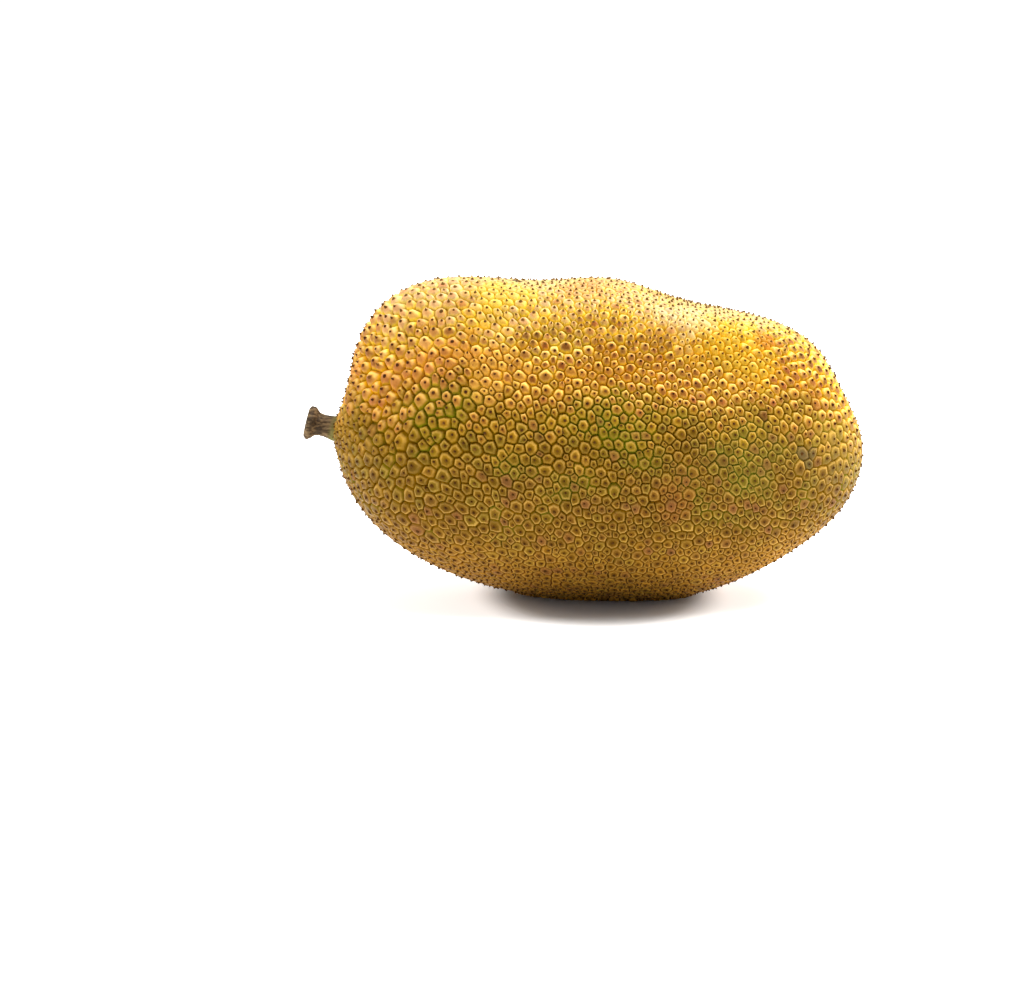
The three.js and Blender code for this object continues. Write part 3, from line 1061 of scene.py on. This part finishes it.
# %% [markdown]
# ## The stalk's finish
#
# Grey-brown bark, darker in its fissures and greenish where it leaves the fruit, over a
# weathered cut: a pale ring of wood, a darker pith and stains of dried latex. The noise for the
# bark is drawn out along the stalk, which is quicker than modelling fibres.

# %% Stalk finish
ALONG_THE_GRAIN = (0.25, 1, 1)  # the grain runs along the stalk

finish = Finish(bpy.data.materials.new("stalk_bark"))
cut = finish.fact("cut_face")
stalk_height = finish.fact("height")
drawn_out = {"Vector": finish.place(), "Scale": ALONG_THE_GRAIN}
fibre = finish.noise(1.6, detail=5, place=finish.node("ShaderNodeMapping", {}, drawn_out))
blotch = finish.noise(7, detail=3)
bark_colour = finish.mix("#3e2e1c", "#7e6748", fibre.ramp(0.35, 0.68))
bark_colour = finish.mix(bark_colour, "#2a2016", blotch.ramp(0.5, 0.68) * 0.7)
bark_colour = finish.mix(bark_colour, "#7d7a35", stalk_height.ramp(4, -1) * 0.6)
wood = finish.mix("#7a6244", "#3d2c1b", finish.noise(2.2, detail=4).ramp(0.4, 0.7))
wood = finish.mix(wood, "#2a1c10", cut.ramp(0.72, 0.95) * 0.8)
finish.surface(
    stalk,
    **{
        "Base Color": finish.mix(bark_colour, wood, cut.ramp(0.08, 0.2)),
        "Roughness": 0.72 + (fibre - 0.5) * 0.3,
        "Specular IOR Level": 0.15,
        "Normal": finish.bump(fibre, distance=0.6, strength=0.8),
    },
)

# %% [markdown]
# ## The floor
#
# The fruit lies on a plain white floor. A white floor under a lamp still renders a little grey,
# so it glows faintly, which could be done with a brighter lamp only at the fruit's cost. The
# glow fades out under the fruit, where the floor's colour is darker too: a painted shadow, an
# oval laid round the flat spot over the shadow that the fruit throws, so that it sits firmly there.

# %% Floor
FLOOR_SIZE = 60
FLOOR_GAP = 0.4 * MM
LENGTH_SHARE, DEPTH_SHARE = 2, 0.8  # how fast the shadow's oval fades each way
GLOW = 0.6

half = FLOOR_SIZE / 2
floor_corners = [(x, y, -FLOOR_GAP) for x, y in ((-half, -half), (half, -half), (half, half), (-half, half))]
floor_mesh = bpy.data.meshes.new("floor")
floor_mesh.from_pydata(floor_corners, [], [(0, 1, 2, 3)])
floor = bpy.data.objects.new("floor", floor_mesh)
bpy.context.collection.objects.link(floor)

finish = Finish(bpy.data.materials.new("white_floor"))
floor_x, floor_y, _ = finish.parts(finish.place())
away = ((floor_x * floor_x) * LENGTH_SHARE + floor_y * floor_y * DEPTH_SHARE) ** 0.5
finish.surface(
    floor,
    **{
        # painted shadow: the floor is darker round the fruit's flat spot
        "Base Color": finish.mix("#f4f4f3", "#9c9ca0", away.ramp(0.12, 0.05)),
        "Roughness": 0.55,
        # painted shadow: the glow fades out round the fruit
        "Emission Color": finish.mix((0, 0, 0, 1), (1, 1, 1, 1), away.ramp(0.08, 0.125)),
        "Emission Strength": GLOW,
    },
)

# %% [markdown]
# ## The light
#
# Soft studio light has no hard edges. It could come from area lights, but they fall off along a
# thing as long as this. A very broad sun from overhead, a little from the blossom end and from
# behind, lights the top evenly and lets the flanks fall off. The world fills in low down, from
# both ends of the fruit and from behind, so that the ends stay bright against the white. The
# camera itself sees plain white.

# %% Light
SUN_STRENGTH = 5.9
SUN_ANGLE = math.radians(50)
SUN_SHINES = Vector((-0.35, -0.15, -1))
FILL = 0.15
BACK_FILL = 0.8
SIDE_FILL = 3.8
WHITE = 1.05

sun = bpy.data.objects.new("overhead_light", bpy.data.lights.new("overhead_light", "SUN"))
sun.data.energy = SUN_STRENGTH
sun.data.angle = SUN_ANGLE
sun.rotation_euler = SUN_SHINES.to_track_quat("-Z", "Y").to_euler()
bpy.context.collection.objects.link(sun)

sky = Finish(bpy.data.worlds.new("studio"))
bpy.context.scene.world = sky.owner
across, back, up = sky.parts(sky.node("ShaderNodeTexCoord", output="Generated"))
sides = (across * across).ramp(0.3, 0.85) * up.ramp(0.75, 0.2)
light = FILL + BACK_FILL * back.ramp(-0.2, 0.7) + SIDE_FILL * sides
seen = sky.node("ShaderNodeLightPath", output="Is Camera Ray")
strength = light + (WHITE - light) * seen
backdrop = sky.node("ShaderNodeBackground", {}, {"Color": (1, 1, 1, 1), "Strength": strength})
sky.node("ShaderNodeOutputWorld", {}, {"Surface": backdrop})
bpy.context.scene.view_settings.view_transform = "Standard"
print("sun of strength", SUN_STRENGTH, "and a sky of", len(sky.tree.nodes), "nodes")

# %% [markdown]
